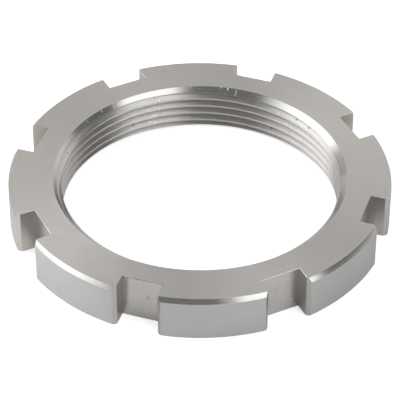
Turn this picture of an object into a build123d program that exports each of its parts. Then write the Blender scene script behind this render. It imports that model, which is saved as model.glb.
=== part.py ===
from build123d import *
from math import radians, sqrt, tan
import os

# Round slotted nut, one piece of steel, for a fine metric thread.
# Millimetres. Z is the thread's axis, z = 0 is the bearing face underneath,
# the rim's wide chamfer is at the top and one slot opens towards +Y.

# bore, at the minor diameter of the internal thread
THREAD_DIAMETER = 48.0
THREAD_PITCH = 1.5
TOP_COUNTERSINK = 1.4
BOTTOM_COUNTERSINK = 0.86

# turned blank: its wall reaches from the thread's major diameter to the rim
RING_WALL = 8.0
THICKNESS = 8.0
TOP_CHAMFER_HEIGHT = 0.8
TOP_CHAMFER_ANGLE = 30.0
BOTTOM_EDGE_BREAK = 0.22

# milled spanner slots
SLOT_COUNT = 8
SLOT_WIDTH = 6.9
SLOT_DEPTH = 3.4
MOUTH_CHAMFER = 0.68
CUTTER_OVERRUN = 1.5

# sizes that follow from the ones above
OUTER_RADIUS = THREAD_DIAMETER / 2 + RING_WALL
SLOT_FLOOR = OUTER_RADIUS - SLOT_DEPTH
TOP_CHAMFER_LEG = TOP_CHAMFER_HEIGHT * tan(radians(TOP_CHAMFER_ANGLE))
THREAD_HEIGHT = THREAD_PITCH * sqrt(3) / 2
MINOR_RADIUS = THREAD_DIAMETER / 2 - THREAD_HEIGHT * 5 / 8


def turned_blank():
    """The ring as it leaves the lathe: faced, bored, countersunk and chamfered."""
    section = Polyline(
        (MINOR_RADIUS + BOTTOM_COUNTERSINK, 0),
        (OUTER_RADIUS - BOTTOM_EDGE_BREAK, 0),
        (OUTER_RADIUS, BOTTOM_EDGE_BREAK),
        (OUTER_RADIUS, THICKNESS - TOP_CHAMFER_HEIGHT),
        (OUTER_RADIUS - TOP_CHAMFER_LEG, THICKNESS),
        (MINOR_RADIUS + TOP_COUNTERSINK, THICKNESS),
        (MINOR_RADIUS, THICKNESS - TOP_COUNTERSINK),
        (MINOR_RADIUS, BOTTOM_COUNTERSINK),
        close=True,
    )
    return revolve(Plane.XZ * make_face(section), Axis.Z, 360)


def slot_cutter():
    """One slot towards +X: square corners at its floor, its mouth chamfered at the rim."""
    half = SLOT_WIDTH / 2
    rim = sqrt(OUTER_RADIUS**2 - half**2)
    outline = Polyline(
        (SLOT_FLOOR, -half),
        (rim - MOUTH_CHAMFER, -half),
        (rim + CUTTER_OVERRUN, -half - MOUTH_CHAMFER - CUTTER_OVERRUN),
        (rim + CUTTER_OVERRUN, half + MOUTH_CHAMFER + CUTTER_OVERRUN),
        (rim - MOUTH_CHAMFER, half),
        (SLOT_FLOOR, half),
        close=True,
    )
    depth = THICKNESS + 2 * CUTTER_OVERRUN
    return Pos(0, 0, -CUTTER_OVERRUN) * extrude(make_face(outline), depth)


cutter = slot_cutter()
slots = [place * cutter for place in PolarLocations(0, SLOT_COUNT, start_angle=90)]
lock_ring = turned_blank() - slots

os.makedirs("parts", exist_ok=True)
export_step(lock_ring, "parts/lock_ring.step")
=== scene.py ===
import math

import bpy
from mathutils import Matrix, Vector


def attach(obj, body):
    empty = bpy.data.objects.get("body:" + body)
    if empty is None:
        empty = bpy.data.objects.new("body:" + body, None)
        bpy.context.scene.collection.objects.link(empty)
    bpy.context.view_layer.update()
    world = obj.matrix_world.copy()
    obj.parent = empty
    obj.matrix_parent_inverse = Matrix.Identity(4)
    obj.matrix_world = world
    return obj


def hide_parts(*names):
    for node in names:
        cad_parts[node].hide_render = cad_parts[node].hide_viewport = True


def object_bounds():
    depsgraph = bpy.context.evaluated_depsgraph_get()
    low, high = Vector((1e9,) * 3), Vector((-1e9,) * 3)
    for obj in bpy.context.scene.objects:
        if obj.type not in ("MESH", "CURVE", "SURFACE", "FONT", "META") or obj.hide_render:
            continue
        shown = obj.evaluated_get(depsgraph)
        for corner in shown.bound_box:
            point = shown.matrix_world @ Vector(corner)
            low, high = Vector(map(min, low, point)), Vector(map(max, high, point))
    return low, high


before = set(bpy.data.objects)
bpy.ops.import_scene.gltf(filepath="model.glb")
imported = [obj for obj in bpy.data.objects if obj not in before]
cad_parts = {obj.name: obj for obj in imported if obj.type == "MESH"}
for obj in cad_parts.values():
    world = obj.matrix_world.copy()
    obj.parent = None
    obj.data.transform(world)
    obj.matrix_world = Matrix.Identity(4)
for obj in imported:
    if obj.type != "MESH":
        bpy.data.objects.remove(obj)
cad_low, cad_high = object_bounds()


# The ring nut's form. The real one is a slice of steel bar: faced, bored, countersunk and chamfered
# on a lathe, threaded with a single-point tool, then its eight spanner slots are milled out one by
# one and their keen edges filed by hand. The tree below follows the same order.

thread_diameter = 0.048
thread_pitch = 0.0015
# a metric internal thread's depth, and the flat at the root of its groove, as shares of the pitch
thread_depth_share = math.sqrt(3) / 2 * 5 / 8
root_flat_share = 1 / 8
thread_flank_angle = math.radians(30)
# height of the thread groove's middle where it first crosses +X, above the bearing face
groove_start = 0.000558
ring_wall = 0.008
ring_thickness = cad_high.z - cad_low.z
top_countersink_rise = 0.0014
top_countersink_run = 0.0014
bottom_countersink = 0.00086
rim_chamfer_rise = 0.0008
rim_chamfer_angle = math.radians(30)
bottom_edge_break = 0.00022
turned_edge_radius = 0.00005
slot_count = 8
slot_width = 0.0069
slot_depth = 0.0034
mouth_chamfer = 0.00068
# the file bites unevenly: least where a noise is at the first of these levels, most at the second
least_edge_break = 0.00003
most_edge_break = 0.00018
least_bite_level = 0.52
most_bite_level = 0.77
edge_break_lumps_per_metre = 1700.0
edge_break_step = 0.00018
edge_break_seed = 11.0
floor_pit_place = (0.00092, -0.0286, 0.00467)
floor_pit_radius = 0.0002
sharp_edge_angle = math.radians(35)

round_segments = 720
helix_segments = 360
thread_tool_turns = 7.0
cutter_overrun = 0.0015
# the thread tool's flanks pass the crests by this share of the overrun, and its shank by eight times that
tooth_relief_share = 0.04
tooth_shank_reliefs = 8.0
# points nearer to each other than this become one
weld_distance = 0.000001

# each face remembers the tool that left it
by_lathe, by_slot_mill, by_thread_tool, by_file = range(4)


def put(tree, kind, inputs=None, **settings):
    """Adds a node. Settings are its own properties; inputs go to its sockets by name or number."""
    node = tree.nodes.new(kind)
    for name, value in settings.items():
        setattr(node, name, value)
    for name, value in (inputs or {}).items():
        if isinstance(name, int):
            socket = node.inputs[name]
        else:
            socket = next(s for s in node.inputs if s.name == name and s.enabled)
        if isinstance(value, Sum):
            value = value.socket
        if isinstance(value, bpy.types.NodeSocket):
            tree.links.new(value, socket)
        else:
            socket.default_value = value
    return node


class Sum:
    """A number inside a node tree, so that sizes there can be worked out with plain signs."""

    def __init__(self, tree, socket):
        self.tree = tree
        self.socket = socket

    def work(self, operation, *others):
        inputs = dict(enumerate([self, *others]))
        return Sum(self.tree, put(self.tree, "ShaderNodeMath", inputs, operation=operation).outputs[0])

    def __add__(self, other):
        return self.work("ADD", other)

    def __sub__(self, other):
        return self.work("SUBTRACT", other)

    def __mul__(self, other):
        return self.work("MULTIPLY", other)

    def __truediv__(self, other):
        return self.work("DIVIDE", other)

    def __neg__(self):
        return self.work("MULTIPLY", -1.0)


def outline(tree, corners, radius=None, steps=4, closed=True):
    """A polyline through the corners, with each corner rounded if a radius is given."""
    place = put(tree, "GeometryNodeIndexSwitch", {"Index": put(tree, "GeometryNodeInputIndex").outputs[0]},
                data_type="VECTOR")
    while len(place.index_switch_items) < len(corners):
        place.index_switch_items.new()
    for number, (across, along) in enumerate(corners):
        corner = put(tree, "ShaderNodeCombineXYZ", {"X": across, "Y": along}).outputs[0]
        tree.links.new(corner, place.inputs[number + 1])
    points = put(tree, "GeometryNodePoints", {"Count": len(corners), "Position": place.outputs[0]}).outputs[0]
    line = put(tree, "GeometryNodePointsToCurves", {"Points": points}).outputs[0]
    line = put(tree, "GeometryNodeSetSplineCyclic", {"Geometry": line, "Cyclic": closed}).outputs[0]
    if radius is not None:
        line = put(tree, "GeometryNodeFilletCurve",
                   {"Curve": line, "Radius": radius, "Count": steps, "Limit Radius": True},
                   mode="POLY").outputs[0]
    return line


def along_round_path(tree, path, section, close_ends):
    """Carries a section, drawn as (outwards, downwards) from the path, along a round or helical path."""
    path = put(tree, "GeometryNodeSetCurveNormal", {"Curve": path}, mode="Z_UP").outputs[0]
    return put(tree, "GeometryNodeCurveToMesh",
               {"Curve": path, "Profile Curve": section, "Fill Caps": close_ends}).outputs[0]


def lifted(tree, part, height):
    """Moves a part up along the axis."""
    lift = put(tree, "ShaderNodeCombineXYZ", {"Z": height}).outputs[0]
    return put(tree, "GeometryNodeTransform", {"Geometry": part, "Translation": lift}).outputs[0]


def marked(tree, mesh, tool):
    """Notes on each face which tool left it."""
    return put(tree, "GeometryNodeStoreNamedAttribute", {"Geometry": mesh, "Name": "cut", "Value": tool},
               data_type="INT", domain="FACE").outputs[0]


form = bpy.data.node_groups.new("ring_nut_form", "GeometryNodeTree")
form.interface.new_socket("Mesh", in_out="OUTPUT", socket_type="NodeSocketGeometry")
form_sizes = {
    "Thread Diameter": thread_diameter,
    "Thread Pitch": thread_pitch,
    "Groove Start": groove_start,
    "Ring Wall": ring_wall,
    "Thickness": ring_thickness,
    "Top Countersink Rise": top_countersink_rise,
    "Top Countersink Run": top_countersink_run,
    "Bottom Countersink": bottom_countersink,
    "Rim Chamfer Rise": rim_chamfer_rise,
    "Rim Chamfer Run": rim_chamfer_rise * math.tan(rim_chamfer_angle),
    "Bottom Edge Break": bottom_edge_break,
    "Turned Edge Radius": turned_edge_radius,
    "Slot Width": slot_width,
    "Slot Depth": slot_depth,
    "Mouth Chamfer": mouth_chamfer,
    "Least Edge Break": least_edge_break,
    "Most Edge Break": most_edge_break,
    "Edge Break Step": edge_break_step,
    "Edge Break Seed": edge_break_seed,
    "Floor Pit Radius": floor_pit_radius,
    "Overrun": cutter_overrun,
}
form_inputs = {
    name: form.interface.new_socket(name, in_out="INPUT", socket_type="NodeSocketFloat")
    for name in form_sizes
}
form_inputs["Slots"] = form.interface.new_socket("Slots", in_out="INPUT", socket_type="NodeSocketInt")
form_given = form.nodes.new("NodeGroupInput").outputs
size = {name: Sum(form, form_given[name]) for name in form_sizes}

major_radius = size["Thread Diameter"] / 2.0
minor_radius = major_radius - size["Thread Pitch"] * thread_depth_share
outer_radius = major_radius + size["Ring Wall"]
thickness = size["Thickness"]

# turned blank: its section, drawn from the major radius outwards, carried once round the axis
blank_corners = [
    (minor_radius + size["Bottom Countersink"], 0.0),
    (minor_radius, size["Bottom Countersink"]),
    (minor_radius, thickness - size["Top Countersink Rise"]),
    (minor_radius + size["Top Countersink Run"], thickness),
    (outer_radius - size["Rim Chamfer Run"], thickness),
    (outer_radius, thickness - size["Rim Chamfer Rise"]),
    (outer_radius, size["Bottom Edge Break"]),
    (outer_radius - size["Bottom Edge Break"], 0.0),
]
blank_section = outline(form, [(across - major_radius, -up) for across, up in blank_corners],
                        size["Turned Edge Radius"])
round_path = put(form, "GeometryNodeCurvePrimitiveCircle",
                 {"Resolution": round_segments, "Radius": major_radius}).outputs[0]
blank = marked(form, along_round_path(form, round_path, blank_section, False), by_lathe)

# thread cutter: a 60 degree tooth with a flat tip, on a helix from below the ring to above it
tip_half = size["Thread Pitch"] * (root_flat_share / 2)
tooth_depth = major_radius - minor_radius
relief = size["Overrun"] * tooth_relief_share
flank_end = tooth_depth + relief
shank_end = tooth_depth + relief * tooth_shank_reliefs
tooth_half = tip_half + flank_end * math.tan(thread_flank_angle)
tooth = [
    (0.0, -tip_half),
    (0.0, tip_half),
    (-flank_end, tooth_half),
    (-shank_end, tooth_half),
    (-shank_end, -tooth_half),
    (-flank_end, -tooth_half),
]
helix = put(form, "GeometryNodeCurveSpiral",
            {"Resolution": helix_segments, "Rotations": thread_tool_turns, "Start Radius": major_radius,
             "End Radius": major_radius, "Height": size["Thread Pitch"] * thread_tool_turns,
             "Reverse": True}).outputs[0]
thread_cutter = along_round_path(form, helix, outline(form, tooth), True)
thread_cutter = lifted(form, thread_cutter, size["Groove Start"] - size["Thread Pitch"])
thread_cutter = marked(form, thread_cutter, by_thread_tool)

# slot cutter: a square slot with a flared mouth, drawn from above, past the ring top and bottom
slot_half = size["Slot Width"] / 2.0
slot_floor = outer_radius - size["Slot Depth"]
rim_reach = (outer_radius * outer_radius - slot_half * slot_half).work("SQRT")
flare_start = rim_reach - size["Mouth Chamfer"]
flare_end = rim_reach + size["Overrun"]
flare_half = slot_half + size["Mouth Chamfer"] + size["Overrun"]
slot_corners = [
    (slot_floor, -slot_half),
    (flare_start, -slot_half),
    (flare_end, -flare_half),
    (flare_end, flare_half),
    (flare_start, slot_half),
    (slot_floor, slot_half),
]
slot_plan = put(form, "GeometryNodeFillCurve",
                {"Curve": outline(form, slot_corners)}, mode="NGONS").outputs[0]
slot_plan = lifted(form, slot_plan, -size["Overrun"])
slot_body = put(form, "GeometryNodeExtrudeMesh",
                {"Mesh": slot_plan, "Offset": (0, 0, 1), "Offset Scale": thickness + size["Overrun"] * 2.0,
                 "Individual": False}).outputs[0]
slot_cutter = put(form, "GeometryNodeJoinGeometry")
form.links.new(slot_body, slot_cutter.inputs[0])
form.links.new(put(form, "GeometryNodeFlipFaces", {"Mesh": slot_plan}).outputs[0], slot_cutter.inputs[0])
slot_cutter = put(form, "GeometryNodeMergeByDistance",
                  {"Geometry": slot_cutter.outputs[0], "Distance": weld_distance}).outputs[0]


def at_each_slot(tree, part, slots):
    """Turns copies of a part round the axis, one for each slot."""
    places = put(tree, "GeometryNodePoints", {"Count": slots}).outputs[0]
    number = Sum(tree, put(tree, "GeometryNodeInputIndex").outputs[0])
    turn = put(tree, "ShaderNodeCombineXYZ", {"Z": number * math.tau / slots}).outputs[0]
    turn = put(tree, "FunctionNodeEulerToRotation", {"Euler": turn}).outputs[0]
    copies = put(tree, "GeometryNodeInstanceOnPoints", {"Points": places, "Instance": part, "Rotation": turn})
    return put(tree, "GeometryNodeRealizeInstances", {"Geometry": copies.outputs[0]}).outputs[0]


slot_cutters = marked(form, at_each_slot(form, slot_cutter, form_given["Slots"]), by_slot_mill)

# the keen edges left round each slot are broken by hand, unevenly: a square file runs along them
file_way = outline(form, slot_corners[3:] + slot_corners[:3], closed=False)
here = put(form, "GeometryNodeInputPosition").outputs[0]
next_point = put(form, "GeometryNodeOffsetPointInCurve", {"Offset": 1}).outputs["Point Index"]
there = put(form, "GeometryNodeFieldAtIndex", {"Index": next_point, "Value": here},
            data_type="FLOAT_VECTOR").outputs[0]
run = put(form, "ShaderNodeVectorMath", {0: here, 1: there}, operation="DISTANCE").outputs["Value"]
cuts = Sum(form, run) / size["Edge Break Step"]
file_way = put(form, "GeometryNodeSubdivideCurve", {"Curve": file_way, "Cuts": cuts}).outputs[0]
file_way = at_each_slot(form, file_way, form_given["Slots"])
unevenness = put(form, "ShaderNodeTexNoise",
                 {"Vector": here, "W": size["Edge Break Seed"], "Scale": edge_break_lumps_per_metre,
                  "Detail": 3.0, "Roughness": 0.6},
                 noise_dimensions="4D").outputs[0]
file_size = put(form, "ShaderNodeMapRange",
                {"Value": unevenness, "From Min": least_bite_level, "From Max": most_bite_level,
                 "To Min": size["Least Edge Break"], "To Max": size["Most Edge Break"]}).outputs[0]
file_way = put(form, "GeometryNodeSetCurveNormal", {"Curve": file_way}, mode="Z_UP").outputs[0]
file_end = put(form, "GeometryNodeCurvePrimitiveCircle", {"Resolution": 4, "Radius": 1.0}).outputs[0]
files = put(form, "GeometryNodeJoinGeometry")
for face_height in (thickness, 0.0):
    filed = put(form, "GeometryNodeCurveToMesh",
                {"Curve": lifted(form, file_way, face_height), "Profile Curve": file_end,
                 "Scale": file_size, "Fill Caps": True}).outputs[0]
    form.links.new(filed, files.inputs[0])

# one slot's floor has a small round pit
pit = put(form, "GeometryNodeMeshIcoSphere",
          {"Radius": size["Floor Pit Radius"], "Subdivisions": 4}).outputs[0]
pit = put(form, "GeometryNodeTransform", {"Geometry": pit, "Translation": floor_pit_place}).outputs[0]
form.links.new(pit, files.inputs[0])
edge_cutters = marked(form, files.outputs[0], by_file)

shape = blank
for cutters in (thread_cutter, slot_cutters, edge_cutters):
    shape = put(form, "GeometryNodeMeshBoolean", {"Mesh 1": shape, "Mesh 2": cutters},
                operation="DIFFERENCE", solver="EXACT").outputs[0]
shape = put(form, "GeometryNodeMergeByDistance", {"Geometry": shape, "Distance": weld_distance}).outputs[0]


# The nut's finishes: bare steel throughout, but each tool leaves its own marks in it. The faces and
# the rim are fine-turned and a little dull, chamfers and countersinks are bright, the thread is
# rougher across its grooves, and the slots carry the upright marks of the cutter's side.


def shader_group(name, inputs, outputs):
    """An empty shader group with named inputs and number outputs. Gives the group and its input sockets."""
    group = bpy.data.node_groups.new(name, "ShaderNodeTree")
    for label, kind in inputs.items():
        group.interface.new_socket(label, in_out="INPUT", socket_type="NodeSocket" + kind)
    for label in outputs:
        group.interface.new_socket(label, in_out="OUTPUT", socket_type="NodeSocketFloat")
    return group, group.nodes.new("NodeGroupInput").outputs


def noise(tree, place, extra=0.0, detail=2.0, scale=1.0):
    """Smooth noise. Its fourth dimension lets a pattern run round the ring without a seam."""
    return put(tree, "ShaderNodeTexNoise", {"Vector": place, "W": extra, "Detail": detail, "Scale": scale},
               noise_dimensions="4D").outputs[0]


def split(tree, vector):
    """The three numbers of a vector, ready for plain signs."""
    return [Sum(tree, socket) for socket in put(tree, "ShaderNodeSeparateXYZ", {"Vector": vector}).outputs]


def divided(tree, vector, sizes):
    """A vector, each of its three numbers divided by its own size."""
    return put(tree, "ShaderNodeVectorMath", {0: vector, 1: sizes}, operation="DIVIDE").outputs[0]


# turning marks run round the axis, one feed apart
turning_marks, given = shader_group(
    "turning_marks", {"Coordinates": "Vector", "Feed": "Float", "Wander": "Float"}, ["Height", "Shade"])
across, along, up = split(turning_marks, given["Coordinates"])
radius = (across * across + along * along).work("SQRT")
place = put(turning_marks, "ShaderNodeCombineXYZ",
            {"X": radius / given["Feed"], "Y": up / given["Feed"],
             "Z": across / radius * given["Wander"]}).outputs[0]
round_way = along / radius * given["Wander"]
put(turning_marks, "NodeGroupOutput", {
    "Height": noise(turning_marks, place, round_way),
    "Shade": noise(turning_marks, place, round_way, detail=3.0, scale=0.2)})

# milling marks stand upright, one feed apart
milling_marks, given = shader_group(
    "milling_marks", {"Coordinates": "Vector", "Feed": "Float", "Wander": "Float"}, ["Height", "Shade"])
across, along, up = split(milling_marks, given["Coordinates"])
place = put(milling_marks, "ShaderNodeCombineXYZ",
            {"X": across / given["Feed"], "Y": along / given["Feed"], "Z": up / given["Wander"]}).outputs[0]
put(milling_marks, "NodeGroupOutput", {
    "Height": noise(milling_marks, place),
    "Shade": noise(milling_marks, place, extra=1.0, detail=3.0, scale=0.4)})

# handling leaves dull clouds, and small chips wherever a noise passes the chip level
chip_softness = 0.04
handling, given = shader_group(
    "handling", {"Coordinates": "Vector", "Cloud Size": "Float", "Chip Size": "Float", "Chip Level": "Float"},
    ["Cloud", "Chip"])
clouds = noise(handling, divided(handling, given["Coordinates"], given["Cloud Size"]), detail=3.0)
chips = noise(handling, divided(handling, given["Coordinates"], given["Chip Size"]), detail=1.0)
chip_top = Sum(handling, given["Chip Level"]) + chip_softness
chips = put(handling, "ShaderNodeMapRange",
            {"Value": chips, "From Min": given["Chip Level"], "From Max": chip_top}).outputs[0]
put(handling, "NodeGroupOutput", {"Cloud": clouds, "Chip": chips})

# a spot is a soft-edged cloud round one place, at its full strength in the inner fifth of its size. It marks
# stains, patches, specks and stretches of torn thread on the steel, and the floor's painted pools of light
spot_core = 0.2
stain_and_light_pool_spot, given = shader_group(
    "stain_and_light_pool_spot", {"Coordinates": "Vector", "Centre": "Vector", "Size": "Vector", "Strength": "Float"},
    ["Mask"])
offset = put(stain_and_light_pool_spot, "ShaderNodeVectorMath", {0: given["Coordinates"], 1: given["Centre"]},
             operation="SUBTRACT").outputs[0]
offset = divided(stain_and_light_pool_spot, offset, given["Size"])
distance = put(stain_and_light_pool_spot, "ShaderNodeVectorMath", {0: offset}, operation="LENGTH").outputs["Value"]
put(stain_and_light_pool_spot, "NodeGroupOutput", {"Mask": put(stain_and_light_pool_spot, "ShaderNodeMapRange", {
    "Value": distance, "From Min": 1.0, "From Max": spot_core, "To Max": given["Strength"]}).outputs[0]})

# a nick is a short groove down the slope of a countersink, at a bearing from the ring's middle
nick, given = shader_group(
    "nick", {"Coordinates": "Vector", "Bearing": "Float", "Height": "Float", "Length": "Float",
             "Width": "Float"}, ["Depth"])
across, along, up = split(nick, given["Coordinates"])
bearing = Sum(nick, given["Bearing"])
outwards = across * bearing.work("COSINE") + along * bearing.work("SINE")
aside = along * bearing.work("COSINE") - across * bearing.work("SINE")
narrow = -(aside.work("ABSOLUTE") / given["Width"]) + 1.0
short = -((up - given["Height"]).work("ABSOLUTE") / given["Length"]) + 1.0
depth = narrow.work("MAXIMUM", 0.0) * short.work("GREATER_THAN", 0.0) * outwards.work("GREATER_THAN", 0.0)
put(nick, "NodeGroupOutput", {"Depth": depth})

# the thread tool tears flakes off the crests' edges: wherever a noise passes a level, which falls as
# the share of torn edge rises. The flakes dent the crests, and they are also painted lighter, a painted glint
tear_level = 0.74
tear_level_fall = 0.17
tear_softness = 0.07
torn_crests_and_glints, given = shader_group(
    "torn_crests_and_glints", {"Coordinates": "Vector", "Pitch": "Float", "Groove Start": "Float",
                    "Major Radius": "Float", "Reach": "Float", "Tear Size": "Vector",
                    "Share": "Float"}, ["Tear"])
across, along, up = split(torn_crests_and_glints, given["Coordinates"])
pitch = Sum(torn_crests_and_glints, given["Pitch"])
turned = along.work("ARCTAN2", across) / math.tau
turns_from_groove = ((up - given["Groove Start"]) / pitch - turned + 0.5).work("FRACT") - 0.5
radius = (across * across + along * along).work("SQRT")
above_root = (-(radius - given["Major Radius"])).work("MAXIMUM", 0.0)
groove_half = above_root * math.tan(thread_flank_angle) + pitch * (root_flat_share / 2)
from_flank = (turns_from_groove.work("ABSOLUTE") * pitch - groove_half).work("ABSOLUTE")
near = (-(from_flank / given["Reach"]) + 1.0).work("MAXIMUM", 0.0) * above_root / (pitch / 2.0)
size_round, size_up, size_deep = split(torn_crests_and_glints, given["Tear Size"])
place = put(torn_crests_and_glints, "ShaderNodeCombineXYZ", {"X": across / size_round, "Y": along / size_round,
                                                  "Z": up / size_up}).outputs[0]
level = -(Sum(torn_crests_and_glints, given["Share"]) * tear_level_fall) + tear_level
flakes = put(torn_crests_and_glints, "ShaderNodeMapRange", {
    "Value": noise(torn_crests_and_glints, place, radius / size_deep, detail=1.0),
    "From Min": level, "From Max": level + tear_softness}).outputs[0]
put(torn_crests_and_glints, "NodeGroupOutput", {"Tear": near * flakes})

# the highlight's streak lies across the grain, a quarter of a turn from it
streak_turn = 0.25
edge_tint = (0.8, 0.8, 0.8, 1)
roughness_swing = 0.1
cloud_share = 0.5
cloud_size = 0.0035
chip_size = 0.00022
chip_depth = 0.00001
chip_darkness = 0.9
nick_width = 0.00007
tear_size = (0.00035, 0.0003, 0.0003)
tear_reach = 0.0002
tear_depth = 0.00004
least_tear = 0.25
speck_size = (0.00032, 0.00032, 0.00028)
speck_tone = (0.14, 0.135, 0.13, 1)
# a darker, warmer tone for the stains on the face, the patches in two slots, and chips
dark_warm_tone = (0.35, 0.33, 0.265, 1)
# the lighter tone that torn crests are painted: a painted glint
painted_glint_tone = (0.85, 0.84, 0.82, 1)
# the darker shade of each steel is warmer by these factors, and the lighter shade cooler
warm_cast = (1.022, 1.0, 0.955)


def spot(tree, coordinates, centre, size, strength):
    """The mask of a soft spot round one place."""
    return put(tree, "ShaderNodeGroup", {"Coordinates": coordinates, "Centre": centre, "Size": size,
                                         "Strength": strength}, node_tree=stain_and_light_pool_spot).outputs[0]


def blended(tree, colour, tone, mask):
    """A colour that turns into the tone as the mask goes from 0 to 1."""
    return put(tree, "ShaderNodeMix", {"Factor": mask, "A": colour, "B": tone}, data_type="RGBA").outputs[2]


def steel_finish(name, tone, contrast, roughness, anisotropy, grain, marks, feed, wander, mark_depth,
                 chip_level, dark_patches=(), specks=(), nicks=(), torn_and_glinting=()):
    """Bare steel with one tool's marks in it, a little duller in clouds, chipped, and darker and warmer in
    patches; its torn thread crests are dented and painted lighter, a painted glint.
    """
    finish = bpy.data.materials.new(name)
    finish.use_nodes = True
    tree = finish.node_tree
    steel = tree.nodes["Principled BSDF"]
    steel.inputs["Metallic"].default_value = 1.0
    steel.inputs["Specular Tint"].default_value = edge_tint
    steel.inputs["Anisotropic"].default_value = anisotropy
    steel.inputs["Anisotropic Rotation"].default_value = streak_turn
    coordinates = put(tree, "ShaderNodeTexCoord").outputs["Object"]
    cuts = put(tree, "ShaderNodeGroup", {"Coordinates": coordinates, "Feed": feed, "Wander": wander},
               node_tree=marks).outputs
    wear = put(tree, "ShaderNodeGroup", {"Coordinates": coordinates, "Cloud Size": cloud_size,
                                         "Chip Size": chip_size, "Chip Level": chip_level},
               node_tree=handling).outputs
    shade = Sum(tree, cuts["Shade"]) * (1 - cloud_share) + Sum(tree, wear["Cloud"]) * cloud_share
    low_tone = [part * (1 - contrast) * warm for part, warm in zip(tone, warm_cast)] + [1]
    high_tone = [part * (1 + contrast) / warm for part, warm in zip(tone, warm_cast)] + [1]
    colour = blended(tree, low_tone, high_tone, shade)
    # darker, warmer patches: faint stains on the upper face, and patches on the walls of two slots
    for centre, size, strength in dark_patches:
        colour = blended(tree, colour, dark_warm_tone, spot(tree, coordinates, centre, size, strength))
    for centre in specks:
        colour = blended(tree, colour, speck_tone, spot(tree, coordinates, centre, speck_size, 1.0))
    height = Sum(tree, wear["Chip"]) * -chip_depth
    colour = blended(tree, colour, dark_warm_tone, Sum(tree, wear["Chip"]) * chip_darkness)
    if torn_and_glinting:
        share = least_tear
        for centre, size, strength in torn_and_glinting:
            share = Sum(tree, spot(tree, coordinates, centre, size, strength)) + share
        tear_and_glint = put(tree, "ShaderNodeGroup", {
            "Coordinates": coordinates, "Pitch": thread_pitch, "Groove Start": groove_start,
            "Major Radius": thread_diameter / 2, "Reach": tear_reach, "Tear Size": tear_size,
            "Share": share},
            node_tree=torn_crests_and_glints).outputs[0]
        height = height - Sum(tree, tear_and_glint) * tear_depth
        # torn flakes are painted lighter: a painted glint
        colour = blended(tree, colour, painted_glint_tone, tear_and_glint)
    tree.links.new(colour, steel.inputs["Base Color"])
    dullness = shade * roughness_swing + (roughness - roughness_swing / 2)
    tree.links.new(dullness.socket, steel.inputs["Roughness"])
    height = height + Sum(tree, cuts["Height"]) * mark_depth
    for bearing, low, high, depth in nicks:
        groove = put(tree, "ShaderNodeGroup", {
            "Coordinates": coordinates, "Bearing": math.radians(bearing), "Height": (low + high) / 2,
            "Length": (high - low) / 2, "Width": nick_width}, node_tree=nick).outputs[0]
        height = height - Sum(tree, groove) * depth
    relief = put(tree, "ShaderNodeBump", {"Height": height, "Distance": 1.0}).outputs[0]
    tree.links.new(relief, steel.inputs["Normal"])
    if grain == "round the axis":
        facing = coordinates
    else:
        facing = put(tree, "ShaderNodeTexCoord").outputs["Normal"]
    level_way = put(tree, "ShaderNodeVectorMath", {0: (0, 0, 1), 1: facing}, operation="CROSS_PRODUCT")
    tree.links.new(level_way.outputs[0], steel.inputs["Tangent"])
    return finish


# nicks in the upper countersink: bearing, lower and upper end, depth
countersink_nicks = [
    (161.3, 0.00744, 0.0079, 0.000012),
    (152.8, 0.0077, 0.0079, 0.000015),
    (146.8, 0.0074, 0.0079, 0.000025),
    (112.0, 0.00786, 0.008, 0.000025),
    (100.0, 0.00786, 0.008, 0.000026),
    (97.1, 0.00772, 0.008, 0.000026),
    (93.5, 0.00723, 0.00786, 0.000016),
]

# places of dark specks in the thread
bore_specks = [
    (-0.01732, 0.01617, 0.00498),
    (-0.01765, 0.01582, 0.00247),
    (-0.01459, 0.01868, 0.007),
    (0.00706, 0.02262, 0.00688),
    (0.0054, 0.02308, 0.00225),
    (0.01049, 0.02125, 0.00663),
    (0.01317, 0.01971, 0.0066),
    (-0.00227, 0.0236, 0.0071),
    (0.00165, 0.0236, 0.00702),
    (-0.0236, -0.0006, 0.0068),
]

# stretches of the thread that are torn more than the rest, and so carry more painted glint: place, size,
# share added
torn_and_glinting_places = [
    ((-0.0147, 0.0185, 0.004), (0.0036, 0.0036, 0.02), 0.9),
    ((0.0106, 0.021, 0.004), (0.0085, 0.0085, 0.02), 0.6),
]

# two faint stains on the upper face, and a darker, warmer patch on the walls of each of two slots: place,
# size, strength
face_stains = [
    ((-0.01538, 0.02552, 0.008), (0.0009, 0.0009, 0.0009), 0.25),
    ((-0.01129, -0.02433, 0.008), (0.0007, 0.0007, 0.0007), 0.25),
]
slot_dark_patches = [
    ((0.01857, 0.02345, 0.0072), (0.002, 0.002, 0.0026), 0.8),
    ((-0.0296, 0.0035, 0.006), (0.0028, 0.0028, 0.0045), 0.6),
]

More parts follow.
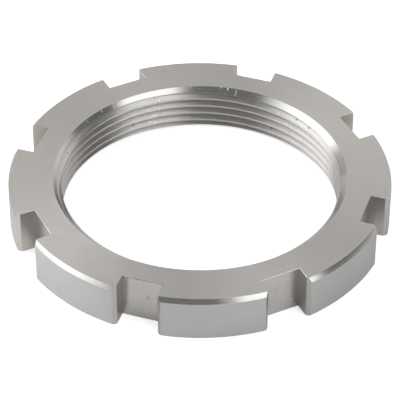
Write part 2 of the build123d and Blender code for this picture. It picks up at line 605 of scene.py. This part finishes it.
turned_bright = steel_finish(
    "turned_bright", tone=(0.46, 0.45, 0.435), contrast=0.06, roughness=0.21, anisotropy=0.8,
    grain="round the axis", marks=turning_marks, feed=0.00008, wander=3.0, mark_depth=0.000001,
    chip_level=0.72, specks=bore_specks, nicks=countersink_nicks, torn_and_glinting=torn_and_glinting_places)
turned_face = steel_finish(
    "turned_face", tone=(0.484, 0.462, 0.437), contrast=0.1, roughness=0.48, anisotropy=0.65,
    grain="round the axis", marks=turning_marks, feed=0.00012, wander=4.0, mark_depth=0.0000015,
    chip_level=0.9, dark_patches=face_stains)
turned_rim = steel_finish(
    "turned_rim", tone=(0.466, 0.457, 0.447), contrast=0.1, roughness=0.42, anisotropy=0.5,
    grain="round the axis", marks=turning_marks, feed=0.00012, wander=4.0, mark_depth=0.0000015,
    chip_level=0.9)
cut_thread = steel_finish(
    "cut_thread", tone=(0.65, 0.625, 0.59), contrast=0.12, roughness=0.57, anisotropy=0.85,
    grain="round the axis", marks=turning_marks, feed=0.00006, wander=8.0, mark_depth=0.000004,
    chip_level=0.66, specks=bore_specks, torn_and_glinting=torn_and_glinting_places)
thread_flank = steel_finish(
    "thread_flank", tone=(0.52, 0.497, 0.47), contrast=0.12, roughness=0.36, anisotropy=0.92,
    grain="round the axis", marks=turning_marks, feed=0.00006, wander=8.0, mark_depth=0.000004,
    chip_level=0.66, specks=bore_specks, torn_and_glinting=torn_and_glinting_places)
slot_floor_steel = steel_finish(
    "slot_floor_steel", tone=(0.5, 0.479, 0.453), contrast=0.14, roughness=0.28, anisotropy=0.9,
    grain="level", marks=milling_marks, feed=0.00025, wander=0.006, mark_depth=0.000003, chip_level=0.9)
slot_wall_steel = steel_finish(
    "slot_wall_steel", tone=(0.468, 0.441, 0.413), contrast=0.18, roughness=0.36, anisotropy=0.4,
    grain="level", marks=milling_marks, feed=0.00025, wander=0.006, mark_depth=0.000003, chip_level=0.9,
    dark_patches=slot_dark_patches)


def all_of(first, *others):
    """True where every one of these tests is."""
    for other in others:
        first = first * other
    return first


def cut_by(tool):
    """True on the faces that one tool left."""
    cut = put(form, "GeometryNodeInputNamedAttribute", {"Name": "cut"}, data_type="INT").outputs[0]
    return Sum(form, cut).work("COMPARE", tool, 0.5)


# a face's finish goes by its tool, its place and the way it faces
level_limit = 0.999
upright_limit = 0.01
facing_axis_limit = 0.9
normal = put(form, "GeometryNodeInputNormal").outputs[0]
facing_up = split(form, normal)[2].work("ABSOLUTE")
across, along, up = split(form, put(form, "GeometryNodeInputPosition").outputs[0])
from_axis = (across * across + along * along).work("SQRT")
outwards = put(form, "ShaderNodeCombineXYZ", {"X": across / from_axis, "Y": along / from_axis}).outputs[0]
facing_axis = put(form, "ShaderNodeVectorMath", {0: normal, 1: outwards}, operation="DOT_PRODUCT")
facing_axis = Sum(form, facing_axis.outputs["Value"]).work("ABSOLUTE")
upright = facing_up.work("LESS_THAN", upright_limit)
on_rim = from_axis.work("GREATER_THAN", outer_radius - size["Bottom Edge Break"] / 2.0)
in_bore = from_axis.work("LESS_THAN", major_radius)
in_slot = cut_by(by_slot_mill)
regions = [
    (turned_face, facing_up.work("GREATER_THAN", level_limit)),
    (turned_rim, all_of(upright, on_rim)),
    (cut_thread, all_of(upright, in_bore)),
    (thread_flank, cut_by(by_thread_tool)),
    (turned_bright, cut_by(by_file)),
    (slot_wall_steel, in_slot),
    (slot_floor_steel, all_of(in_slot, facing_axis.work("GREATER_THAN", facing_axis_limit))),
]
whole = put(form, "GeometryNodeRealizeInstances", {"Geometry": shape}).outputs[0]
whole = put(form, "GeometryNodeSetMaterial", {"Geometry": whole, "Material": turned_bright}).outputs[0]
for finish, where in regions:
    whole = put(form, "GeometryNodeSetMaterial",
                {"Geometry": whole, "Material": finish, "Selection": where}).outputs[0]
put(form, "NodeGroupOutput", {"Mesh": whole})

ring_nut = bpy.data.objects.new("ring_nut", bpy.data.meshes.new("ring_nut"))
bpy.context.scene.collection.objects.link(ring_nut)
maker = ring_nut.modifiers.new("form", "NODES")
maker.node_group = form
for name, value in form_sizes.items():
    maker[form_inputs[name].identifier] = value
maker[form_inputs["Slots"].identifier] = slot_count


def settle(piece):
    """Turns a piece and its modifiers into a plain mesh."""
    graph = bpy.context.evaluated_depsgraph_get()
    mesh = bpy.data.meshes.new_from_object(piece.evaluated_get(graph), depsgraph=graph)
    piece.modifiers.clear()
    piece.data = mesh
    return mesh


settle(ring_nut).set_sharp_from_angle(angle=sharp_edge_angle)
ring_nut.modifiers.new("flat_faces", "WEIGHTED_NORMAL").keep_sharp = True
settle(ring_nut)
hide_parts("lock_ring")
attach(ring_nut, "root")


# The light tent, which isn't part of the object. Its softboxes and dark flags are curved sheets of
# cloth round the table, each where the ring's chamfers and thread mirror it. So a panel is placed by
# the bearings and the slopes of the surfaces that show it.

ring_middle = Vector((0, 0, ring_thickness / 2))
camera_place = Vector((0.09572, -0.28615, 0.24858))
tent_radius = 1.4
tent_foot = 0.02
tent_light = (0.97, 0.99, 1, 1)
panel_step = math.radians(4)
# the panels' edges lean: their bearing moves by this share of the slope, from the countersink's slope on
panel_lean = 0.12
countersink_slope = math.atan2(top_countersink_rise, top_countersink_run)
to_camera = (camera_place - ring_middle).normalized()
away = Vector((-to_camera.x, -to_camera.y, 0)).normalized()


def mirrored(bearing, slope):
    """Where a surface of the ring mirrors to. Its bearing is 0 away from the camera and grows clockwise."""
    outwards = Matrix.Rotation(-bearing, 3, "Z") @ away
    normal = Vector((-outwards.x * math.cos(slope), -outwards.y * math.cos(slope), math.sin(slope)))
    return (2 * normal.dot(to_camera) * normal - to_camera).normalized()


def tent_panel(name, brightness, slopes):
    """A panel of the light tent, which fills what the bore's walls mirror between two slopes. Its
    brightness is given at bearings, and changes evenly between them."""
    low, high = (math.radians(angle) for angle in slopes)
    rows = math.ceil((high - low) / panel_step)
    stops = []
    for (bearing, glow), (next_bearing, next_glow) in zip(brightness, brightness[1:]):
        steps = math.ceil(math.radians(next_bearing - bearing) / panel_step)
        for step in range(steps):
            share = step / steps
            stops.append((bearing + (next_bearing - bearing) * share, glow + (next_glow - glow) * share))
    stops.append(brightness[-1])
    corners = []
    glows = []
    for row in range(rows + 1):
        slope = low + (high - low) * row / rows
        lean = panel_lean * (slope - countersink_slope)
        for bearing, glow in stops:
            corner = ring_middle + mirrored(math.radians(bearing) + lean, slope) * tent_radius
            corners.append((corner.x, corner.y, max(corner.z, tent_foot)))
            glows.append(glow)
    faces = []
    for row in range(rows):
        for column in range(len(stops) - 1):
            first = row * len(stops) + column
            faces.append((first, first + 1, first + len(stops) + 1, first + len(stops)))
    mesh = bpy.data.meshes.new(name)
    mesh.from_pydata(corners, [], faces)
    mesh.attributes.new("glow", "FLOAT", "POINT").data.foreach_set("value", glows)
    cloth = bpy.data.materials.new(name)
    cloth.use_nodes = True
    cloth.node_tree.nodes.clear()
    strength = put(cloth.node_tree, "ShaderNodeAttribute", attribute_name="glow").outputs["Fac"]
    light = put(cloth.node_tree, "ShaderNodeEmission", {"Color": tent_light, "Strength": strength})
    put(cloth.node_tree, "ShaderNodeOutputMaterial", {"Surface": light.outputs[0]})
    mesh.materials.append(cloth)
    panel = bpy.data.objects.new(name, mesh)
    bpy.context.scene.collection.objects.link(panel)
    panel.visible_camera = False


tent_panel(
    "left_softbox",
    [(24.5, 0.28), (28.5, 1.0), (35, 1.85), (44, 2.9), (65.5, 2.9), (70.5, 1.6), (75, 0.78), (90, 0.66)],
    slopes=(23, 66))
tent_panel("right_softbox", [(-39.5, 0.2), (-37, 0.5), (-33, 2.3), (-11.5, 2.3), (-6, 0.28)], slopes=(22, 60))
tent_panel("front_flag", [(-5, 0.28), (24.5, 0.28)], slopes=(18, 87))
tent_panel("right_flag", [(-67, 1.0), (-60, 0.28), (-39.5, 0.2)], slopes=(14, 80))
tent_panel("side_softbox", [(-95, 1.3), (-74, 1.3), (-70, 1.0)], slopes=(38, 50))


# The floor, which isn't part of the object: a sheet of white paper that glows, so that it looks white
# and still takes the ring's shadow. The steel mirrors it darker than the camera sees it, apart from
# three soft pools of light round the ring. From below it can't be seen.

floor_reach = 1.5
# a hair above the bearing face, so that the face and not the floor is seen from below
floor_height = 0.00001
paper_tone = (0.87, 0.87, 0.87, 1)
paper_glow = 0.55
paper_glow_in_steel = 0.12
# each pool's place to the right of the ring's middle and beyond it, its size and its strength
light_pools = [(-0.037, -0.014, 0.03, 0.38), (0.035, -0.014, 0.014, 0.12), (-0.02, 0.038, 0.016, 0.12)]


def seen_by(tree):
    """Whether a thing is seen by the camera, mirrored in something glossy, or seen through something."""
    rays = put(tree, "ShaderNodeLightPath").outputs
    return [Sum(tree, rays[kind]) for kind in ("Is Camera Ray", "Is Glossy Ray", "Is Transmission Ray")]


floor_corners = [(-floor_reach, -floor_reach), (floor_reach, -floor_reach), (floor_reach, floor_reach),
                 (-floor_reach, floor_reach)]
floor_mesh = bpy.data.meshes.new("floor")
floor_mesh.from_pydata([(across, along, floor_height) for across, along in floor_corners], [], [(0, 1, 2, 3)])
floor = bpy.data.objects.new("floor", floor_mesh)
bpy.context.scene.collection.objects.link(floor)
paper = bpy.data.materials.new("white_paper")
paper.use_nodes = True
floor_mesh.materials.append(paper)
paper_tree = paper.node_tree
sheet = paper_tree.nodes["Principled BSDF"]
sheet.inputs["Base Color"].default_value = paper_tone
sheet.inputs["Roughness"].default_value = 1.0
sheet.inputs["Specular IOR Level"].default_value = 0.0
sheet.inputs["Emission Strength"].default_value = 1.0
by_camera, in_steel, through = seen_by(paper_tree)
coordinates = put(paper_tree, "ShaderNodeTexCoord").outputs["Object"]
to_the_right = Vector((away.y, -away.x, 0))
paper_light = (by_camera + through) * paper_glow + in_steel * paper_glow_in_steel
# painted pools of light: glow added to the paper only where the steel mirrors it, not light from any lamp
for right, beyond, pool_size, strength in light_pools:
    centre = tuple(to_the_right * right + away * beyond)
    pool = spot(paper_tree, coordinates, centre, (pool_size, pool_size, pool_size), strength)
    paper_light = paper_light + in_steel * pool
paper_tree.links.new(paper_light.socket, sheet.inputs["Emission Color"])
from_below = put(paper_tree, "ShaderNodeNewGeometry").outputs["Backfacing"]
one_sided = put(paper_tree, "ShaderNodeMixShader", {
    0: from_below, 1: sheet.outputs[0], 2: put(paper_tree, "ShaderNodeBsdfTransparent").outputs[0]})
paper_tree.links.new(one_sided.outputs[0], paper_tree.nodes["Material Output"].inputs["Surface"])


# The white studio round the tent. It lights the ring softly from all sides, and is pure white where
# the camera sees it or the steel mirrors it.

studio_light = 0.5
studio_white = 1.0
studio = bpy.data.worlds.new("studio")
studio.use_nodes = True
bpy.context.scene.world = studio
by_camera, in_steel, through = seen_by(studio.node_tree)
looked_at = by_camera.work("MAXIMUM", in_steel).work("MAXIMUM", through)
studio_strength = looked_at * (studio_white - studio_light) + studio_light
walls = studio.node_tree.nodes["Background"]
walls.inputs["Color"].default_value = (1, 1, 1, 1)
studio.node_tree.links.new(studio_strength.socket, walls.inputs["Strength"])


# The camera, with a long lens, looks down on the ring from the front. Its place, aim and roll are
# fitted to the ring's outline in the photo.

camera_aim = Vector((0.00223, -0.006609, 0.008))
camera_roll = math.radians(0.142)
lens = bpy.data.cameras.new("camera")
lens.sensor_width = 36
lens.lens = 207.86
camera = bpy.data.objects.new("camera", lens)
bpy.context.scene.collection.objects.link(camera)
forward = (camera_aim - camera_place).normalized()
level_right = forward.cross(Vector((0, 0, 1))).normalized()
level_up = level_right.cross(forward)
right = level_right * math.cos(camera_roll) + level_up * math.sin(camera_roll)
up = level_up * math.cos(camera_roll) - level_right * math.sin(camera_roll)
camera.matrix_world = Matrix.Translation(camera_place) @ Matrix((right, up, -forward)).transposed().to_4x4()
bpy.context.scene.camera = camera
bpy.context.scene.view_settings.view_transform = "Standard"
